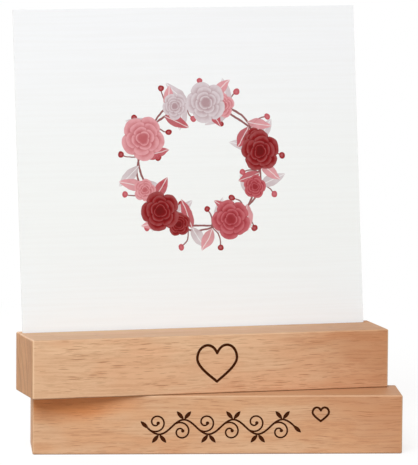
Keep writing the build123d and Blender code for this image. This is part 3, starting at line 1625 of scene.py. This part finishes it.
@dataclass
class Studio:
    """Pale floor, soft lamps and a plain bright surround.

    Attributes:
        lamps: The lamps.
        aim: The point that they look at, in metres.
        floor_radius: Half of the floor's side, in metres.
        floor_colour: Colour by which the floor lights the object.
        seen_floor_colour: Colour of the floor near the object, as the camera sees it.
        seen_floor_glow: How much it glows there, so that it is white out of the shadow.
        white: Strength at which a surface shows white.
        shadow_reach: Distances from the middle between which the shadow fades out, in metres.
        surround: Strength of the light from all round.
        surround_tint: Its colour.
    """

    lamps: Tuple[Lamp, ...] = (
        Lamp("key_lamp", (-0.72, -2.25, 2.10), size=1.72, power=78.5, colour=(0.95, 1.0, 1.07)),
        Lamp("back_lamp", (-0.60, 1.15, 0.40), size=0.90, power=8.0, colour=(1.0, 1.0, 1.0)),
    )
    aim: Triple = (0.0, 0.0, 0.07)
    floor_radius: float = 30.0
    floor_colour: Colour = (0.66, 0.60, 0.52)
    seen_floor_colour: Colour = (0.26, 0.26, 0.26)
    seen_floor_glow: float = 0.79
    white: float = 1.0
    shadow_reach: Span = (0.16, 0.45)
    surround: float = 0.34
    surround_tint: Colour = (1.0, 0.92, 0.82)

    def build(self) -> bpy.types.Object:
        """Make the floor, the lamps and the surround.

        Returns:
            The floor.
        """
        self._surround()
        for lamp in self.lamps:
            lamp.hang(self.aim)
        return self._floor()

    def _surround(self) -> None:
        """Light the world evenly, and show it white."""
        world = bpy.data.worlds.new("surround")
        world.use_nodes = True
        bpy.context.scene.world = world
        graph = Graph(world.node_tree)
        strength = self._seen(graph) * (self.white - self.surround) + self.surround
        made = graph.node("ShaderNodeBackground", None, {"Color": self.surround_tint, "Strength": strength})
        graph.node("ShaderNodeOutputWorld", None, {"Surface": made.outputs["Background"]})

    @staticmethod
    def _seen(graph: Graph) -> Signal:
        """Tell what is looked at from what only lights the object.

        Args:
            graph: The material, or the world.

        Returns:
            One for what the camera, a reflection or a clear body shows, else zero.
        """
        path = graph.node("ShaderNodeLightPath")
        rays = ("Is Camera Ray", "Is Glossy Ray", "Is Transmission Ray")
        camera, glossy, clear = (Signal(graph, path.outputs[name]) for name in rays)
        return camera.at_least(glossy).at_least(clear)

    def _floor(self) -> bpy.types.Object:
        """Make the floor, which shows white and keeps the object's shadow.

        Returns:
            The floor.
        """
        mesh = bpy.data.meshes.new("floor")
        r = self.floor_radius
        mesh.from_pydata([(-r, -r, 0), (r, -r, 0), (r, r, 0), (-r, r, 0)], [], [(0, 1, 2, 3)])
        floor = bpy.data.objects.new("floor", mesh)
        bpy.context.scene.collection.objects.link(floor)
        made, graph = start_material("pale_floor")
        x, y, _ = graph.split(graph.node("ShaderNodeTexCoord").outputs["Object"])
        far = x.hypotenuse(y).fade(*self.shadow_reach)
        plain = graph.node("ShaderNodeBsdfDiffuse", None, {"Color": self.floor_colour})
        shaded = graph.node("ShaderNodeBsdfDiffuse", None, {"Color": self.seen_floor_colour})
        glow = graph.node("ShaderNodeEmission", None, {"Strength": self.seen_floor_glow})
        white = graph.node("ShaderNodeEmission", None, {"Strength": self.white})
        near = graph.node("ShaderNodeAddShader", None, {0: shaded.outputs[0], 1: glow.outputs[0]})
        shown = graph.mix(far, near.outputs[0], white.outputs[0])
        graph.finish(graph.mix(self._seen(graph), plain.outputs[0], shown))
        mesh.materials.append(made)
        return floor


@dataclass
class Camera:
    """Camera at the photograph's view.

    Attributes:
        place: Where it stands, in metres.
        heading: How far it looks to the right of straight back, in degrees.
        pitch: How far it looks down, in degrees.
        roll: How far it is turned anticlockwise about its line of sight, in degrees.
        lens: Focal length in millimetres.
        clip_end: How far it sees, in metres.
    """

    place: Triple = (-0.1367, -2.0084, 0.3284)
    heading: float = 3.80
    pitch: float = 6.79
    roll: float = 0.44
    lens: float = 387.1
    clip_end: float = 100.0

    def build(self) -> bpy.types.Object:
        """Make the camera and give it to the scene.

        Returns:
            The camera.
        """
        heading, pitch, roll = (math.radians(angle) for angle in (self.heading, self.pitch, self.roll))
        level = Vector((math.sin(heading), math.cos(heading), 0.0))
        ahead = level * math.cos(pitch) - Vector((0.0, 0.0, math.sin(pitch)))
        right = ahead.cross(Vector((0.0, 0.0, 1.0))).normalized()
        up = right.cross(ahead)
        tilted = (right * math.cos(roll) + up * math.sin(roll), up * math.cos(roll) - right * math.sin(roll))
        camera = bpy.data.objects.new("camera", bpy.data.cameras.new("camera"))
        camera.data.lens = self.lens
        camera.data.clip_end = self.clip_end
        bpy.context.scene.collection.objects.link(camera)
        turn = Matrix((tilted[0], tilted[1], -ahead)).transposed().to_4x4()
        camera.matrix_world = Matrix.Translation(Vector(self.place)) @ turn
        bpy.context.scene.camera = camera
        return camera


HOLDER_SEAT = Seat(origin=(-5.1, 5.2, BlockSizes().height), turn=12.5)
PLINTH_WOOD = Beech(
    grain=Grain(offset=(310.0, 0.0, 40.0), ray_surplus=-0.1),
    # Painted shade on the plinth's front-left, below the upper block's overhang.
    overhang_shade_patch=PaintedShadePatch(middle=(-62.0, -14.0, 24.0), reach=(40.0, 16.0, 13.0), share=0.74),
    pale=srgb(219, 177, 139),
    rosy=srgb(216, 167, 126),
    # Right end of the plinth: partly redder wood, partly painted shade.
    redder_shaded_end=srgb(192, 130, 88),
    # Plinth's top and underside: own tone and painted shade.
    flats_tone_and_shade=srgb(190, 146, 107),
    dash_share=0.62,
    # Weaker painted highlight on the plinth's arrises.
    arris_highlight_share=0.28,
    upright_highlight_share=0.1,
)


def main() -> None:
    """Build the scene and report each piece."""
    logging.basicConfig(level=logging.INFO, format="%(message)s")
    bpy.context.scene.view_settings.view_transform = "Standard"
    plinth = Block("lower_block", Seat(), PLINTH_WOOD)
    holder = Block("upper_block", HOLDER_SEAT, Beech(), kerf=KerfSizes())
    for part in (plinth, holder, PhotoCard("photo_card", HOLDER_SEAT)):
        log.info("dressed %s", part.build().name)
    log.info("laid %s", Studio().build().name)
    log.info("placed %s", Camera().build().name)


if __name__ == "__main__":
    main()
